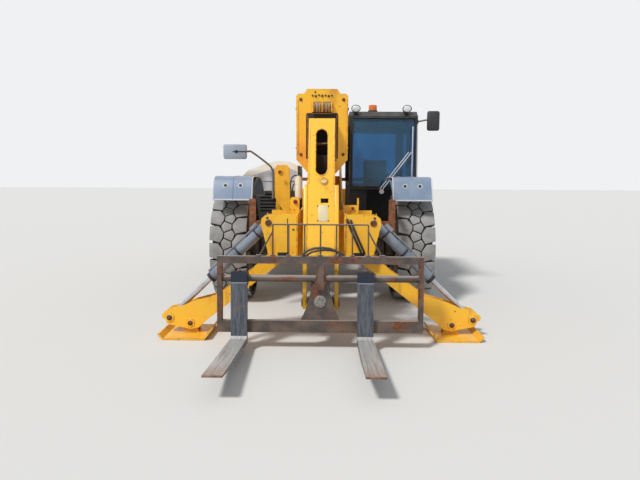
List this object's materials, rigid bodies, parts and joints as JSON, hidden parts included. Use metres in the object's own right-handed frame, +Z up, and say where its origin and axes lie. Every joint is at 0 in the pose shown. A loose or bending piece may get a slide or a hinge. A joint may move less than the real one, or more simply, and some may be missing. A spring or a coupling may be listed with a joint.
{
  "type": "telehandler",
  "caption": "Telescopic handler with a side cab, long telescopic boom, tilting fork carriage and fold-down front stabiliser legs.",
  "frame": {"origin": "middle of the machine's outline on the ground, fork tips to rear body", "axes": "+X to the machine's left, where the cab is, +Y to its rear, +Z up"},
  "size_m": [2.984, 7.496, 2.551],
  "materials": {
    "boom_yellow": "gloss paint, chipped, with rust at wear spots",
    "chassis_yellow": "gloss paint, scuffed and dusty",
    "gear_grey": "dusty painted castings",
    "cab_black": "satin black paint, dusty",
    "cab_glass": "tinted clear glass",
    "seat_cloth": "woven seat cloth",
    "trim_plastic": "moulded black plastic",
    "pod_grey": "dark grey paint, dusty",
    "pod_cream": "faded pale yellow paint",
    "engine_iron": "plain iron block",
    "fender_plastic": "weathered blue grey plastic",
    "frame_steel": "worn dark paint with rust",
    "fork_steel": "worn grey forged steel, rusty at the tips",
    "barrel_grey": "dark grey paint",
    "rod_chrome": "polished hard chrome",
    "tyre_rubber": "dusty rubber",
    "rim_paint": "off white paint, dusty"
  },
  "bodies": {
    "chassis": {"chassis_frame": "chassis_yellow", "chassis_plate_left": "chassis_yellow", "chassis_plate_right": "chassis_yellow", "accumulator": "pod_cream", "rear_body": "chassis_yellow", "running_gear": "gear_grey", "stabiliser_tower": "chassis_yellow", "levelling_bracket": "chassis_yellow", "cab_frame": "cab_black", "cab_glass": "cab_glass", "cab_seat": "seat_cloth", "cab_controls": "trim_plastic", "cab_lamps": "trim_plastic", "cab_mounts": "cab_black", "engine_pod": "pod_grey", "engine_block": "engine_iron", "tank_and_steps": "cab_black", "fenders": "fender_plastic", "mirrors": "cab_black"},
    "boom": {"boom_outer": "boom_yellow"},
    "boom_second": {"boom_second": "boom_yellow"},
    "boom_third": {"boom_third": "boom_yellow"},
    "boom_inner": {"boom_inner": "boom_yellow", "boom_nose": "boom_yellow"},
    "carriage": {"carriage_frame": "frame_steel", "carriage_hoses": "trim_plastic"},
    "fork_right": {"fork_right": "fork_steel"},
    "fork_left": {"fork_left": "fork_steel"},
    "cab_door": {"cab_door": "cab_black", "cab_door_glass": "cab_glass"},
    "engine_cover": {"engine_cover": "pod_cream"},
    "lift_barrel": {"lift_barrel": "barrel_grey"},
    "lift_rod": {"lift_rod": "rod_chrome"},
    "comp_barrel": {"comp_barrel": "barrel_grey"},
    "comp_rod": {"comp_rod": "rod_chrome"},
    "tilt_barrel": {"tilt_barrel": "barrel_grey"},
    "tilt_rod": {"tilt_rod": "rod_chrome"},
    "leg_left": {"leg_left": "chassis_yellow"},
    "pad_left": {"pad_left": "chassis_yellow"},
    "leg_left_barrel": {"leg_barrel_left": "barrel_grey"},
    "leg_left_rod": {"leg_rod_left": "rod_chrome"},
    "knuckle_front_left": {"knuckle_front_left": "gear_grey"},
    "wheel_front_left": {"tyre_front_left": "tyre_rubber", "rim_front_left": "rim_paint"},
    "knuckle_rear_left": {"knuckle_rear_left": "gear_grey"},
    "wheel_rear_left": {"tyre_rear_left": "tyre_rubber", "rim_rear_left": "rim_paint"},
    "leg_right": {"leg_right": "chassis_yellow"},
    "pad_right": {"pad_right": "chassis_yellow"},
    "leg_right_barrel": {"leg_barrel_right": "barrel_grey"},
    "leg_right_rod": {"leg_rod_right": "rod_chrome"},
    "knuckle_front_right": {"knuckle_front_right": "gear_grey"},
    "wheel_front_right": {"tyre_front_right": "tyre_rubber", "rim_front_right": "rim_paint"},
    "knuckle_rear_right": {"knuckle_rear_right": "gear_grey"},
    "wheel_rear_right": {"tyre_rear_right": "tyre_rubber", "rim_rear_right": "rim_paint"}
  },
  "joints": [
    {"name": "boom_lift", "type": "hinge", "parent": "chassis", "child": "boom", "pos_m": [0, 3.29799, 2.13], "axis": [-1, 0, 0], "range_deg": [0, 70]},
    {"name": "telescope_second", "type": "slide", "parent": "boom", "child": "boom_second", "axis": [0, -0.9986, -0.0523], "range_m": [0, 3.4]},
    {"name": "telescope_third", "type": "slide", "parent": "boom_second", "child": "boom_third", "axis": [0, -0.9986, -0.0523], "range_m": [0, 3.41]},
    {"name": "telescope_inner", "type": "slide", "parent": "boom_third", "child": "boom_inner", "axis": [0, -0.9986, -0.0523], "range_m": [0, 3.41]},
    {"name": "carriage_tilt", "type": "hinge", "parent": "boom_inner", "child": "carriage", "pos_m": [0, -2.36201, 0.36], "axis": [1, 0, 0], "range_deg": [-10, 75]},
    {"name": "fork_right_slide", "type": "slide", "parent": "carriage", "child": "fork_right", "axis": [1, 0, 0], "range_m": [-0.08, 0.43]},
    {"name": "fork_left_slide", "type": "slide", "parent": "carriage", "child": "fork_left", "axis": [1, 0, 0], "range_m": [-0.18, 0.385]},
    {"name": "lift_barrel_turn", "type": "hinge", "parent": "chassis", "child": "lift_barrel", "pos_m": [0, 2.94799, 1.05], "axis": [1, 0, 0], "range_deg": [-57.59, 0.6]},
    {"name": "lift_rod_slide", "type": "slide", "parent": "lift_barrel", "child": "lift_rod", "axis": [0, -0.9651, 0.262], "range_m": [-0.005, 1.28605]},
    {"name": "comp_barrel_turn", "type": "hinge", "parent": "chassis", "child": "comp_barrel", "pos_m": [0.135, 2.49799, 0.9], "axis": [1, 0, 0], "range_deg": [-0.6, 21.27]},
    {"name": "comp_rod_slide", "type": "slide", "parent": "comp_barrel", "child": "comp_rod", "axis": [0, 0.4718, 0.8817], "range_m": [-0.005, 0.47829]},
    {"name": "tilt_barrel_turn", "type": "hinge", "parent": "boom_inner", "child": "tilt_barrel", "pos_m": [0, -2.06201, 1.3], "axis": [1, 0, 0], "range_deg": [-1.06, 0.66]},
    {"name": "tilt_rod_slide", "type": "slide", "parent": "tilt_barrel", "child": "tilt_rod", "axis": [0, -0.4539, -0.8911], "range_m": [-0.03616, 0.23869]},
    {"name": "leg_left_raise", "type": "hinge", "parent": "chassis", "child": "leg_left", "pos_m": [0.33, -2.12201, 0.82], "axis": [0, -1, 0], "range_deg": [0, 80]},
    {"name": "pad_left_swivel", "type": "hinge", "parent": "leg_left", "child": "pad_left", "pos_m": [1.225, -2.12201, 0.115], "axis": [0, 1, 0], "range_deg": [-20, 20]},
    {"name": "leg_left_barrel_turn", "type": "hinge", "parent": "chassis", "child": "leg_left_barrel", "pos_m": [0.475, -2.12201, 1.07], "axis": [0, -1, 0], "range_deg": [-0.6, 87.3]},
    {"name": "leg_left_rod_slide", "type": "slide", "parent": "leg_left_barrel", "child": "leg_left_rod", "axis": [0.7222, 0, -0.6917], "range_m": [-0.34377, 0.005]},
    {"name": "leg_right_raise", "type": "hinge", "parent": "chassis", "child": "leg_right", "pos_m": [-0.33, -2.12201, 0.82], "axis": [0, 1, 0], "range_deg": [0, 80]},
    {"name": "pad_right_swivel", "type": "hinge", "parent": "leg_right", "child": "pad_right", "pos_m": [-1.225, -2.12201, 0.115], "axis": [0, 1, 0], "range_deg": [-20, 20]},
    {"name": "leg_right_barrel_turn", "type": "hinge", "parent": "chassis", "child": "leg_right_barrel", "pos_m": [-0.475, -2.12201, 1.07], "axis": [0, 1, 0], "range_deg": [-0.6, 87.3]},
    {"name": "leg_right_rod_slide", "type": "slide", "parent": "leg_right_barrel", "child": "leg_right_rod", "axis": [-0.7222, 0, -0.6917], "range_m": [-0.34377, 0.005]},
    {"name": "steer_front_left", "type": "hinge", "parent": "chassis", "child": "knuckle_front_left", "pos_m": [0.83, -0.50201, 0.645], "axis": [0, 0, 1], "range_deg": [-35, 35]},
    {"name": "wheel_front_left_spin", "type": "hinge", "parent": "knuckle_front_left", "child": "wheel_front_left", "pos_m": [1.065, -0.50201, 0.645], "axis": [1, 0, 0], "continuous": true},
    {"name": "steer_front_right", "type": "hinge", "parent": "chassis", "child": "knuckle_front_right", "pos_m": [-0.83, -0.50201, 0.645], "axis": [0, 0, 1], "range_deg": [-35.5, 35.5]},
    {"name": "wheel_front_right_spin", "type": "hinge", "parent": "knuckle_front_right", "child": "wheel_front_right", "pos_m": [-1.065, -0.50201, 0.645], "axis": [1, 0, 0], "continuous": true},
    {"name": "steer_rear_left", "type": "hinge", "parent": "chassis", "child": "knuckle_rear_left", "pos_m": [0.83, 2.24799, 0.645], "axis": [0, 0, 1], "range_deg": [-35.5, 35.5]},
    {"name": "wheel_rear_left_spin", "type": "hinge", "parent": "knuckle_rear_left", "child": "wheel_rear_left", "pos_m": [1.065, 2.24799, 0.645], "axis": [1, 0, 0], "continuous": true},
    {"name": "steer_rear_right", "type": "hinge", "parent": "chassis", "child": "knuckle_rear_right", "pos_m": [-0.83, 2.24799, 0.645], "axis": [0, 0, 1], "range_deg": [-35.5, 35.5]},
    {"name": "wheel_rear_right_spin", "type": "hinge", "parent": "knuckle_rear_right", "child": "wheel_rear_right", "pos_m": [-1.065, 2.24799, 0.645], "axis": [1, 0, 0], "continuous": true},
    {"name": "cab_door_swing", "type": "hinge", "parent": "chassis", "child": "cab_door", "pos_m": [1.212, 1.31999, 1.55], "axis": [0, 0, 1], "range_deg": [0, 95]},
    {"name": "engine_cover_lift", "type": "hinge", "parent": "chassis", "child": "engine_cover", "pos_m": [-0.348, 0.91049, 1.63], "axis": [0, 1, 0], "range_deg": [0, 65]}
  ],
  "couplings": [
    {"joint": "telescope_third", "follows": "telescope_second", "ratio": 1},
    {"joint": "telescope_inner", "follows": "telescope_second", "ratio": 1},
    {"joint": "lift_barrel_turn", "follows": "boom_lift", "ratio": -0.81414},
    {"joint": "lift_rod_slide", "follows": "boom_lift", "m_per_rad": 1.0486},
    {"joint": "comp_barrel_turn", "follows": "boom_lift", "ratio": 0.29523},
    {"joint": "comp_rod_slide", "follows": "boom_lift", "m_per_rad": 0.38739},
    {"joint": "tilt_barrel_turn", "follows": "carriage_tilt", "ratio": -0.006199},
    {"joint": "tilt_rod_slide", "follows": "carriage_tilt", "m_per_rad": 0.17853},
    {"joint": "leg_left_barrel_turn", "follows": "leg_left_raise", "ratio": 1.0838},
    {"joint": "leg_left_rod_slide", "follows": "leg_left_raise", "m_per_rad": -0.24262},
    {"joint": "leg_right_barrel_turn", "follows": "leg_right_raise", "ratio": 1.0838},
    {"joint": "leg_right_rod_slide", "follows": "leg_right_raise", "m_per_rad": -0.24262},
    {"joint": "steer_front_right", "follows": "steer_front_left", "ratio": 1},
    {"joint": "steer_rear_left", "follows": "steer_front_left", "ratio": -1},
    {"joint": "steer_rear_right", "follows": "steer_front_left", "ratio": -1}
  ]
}
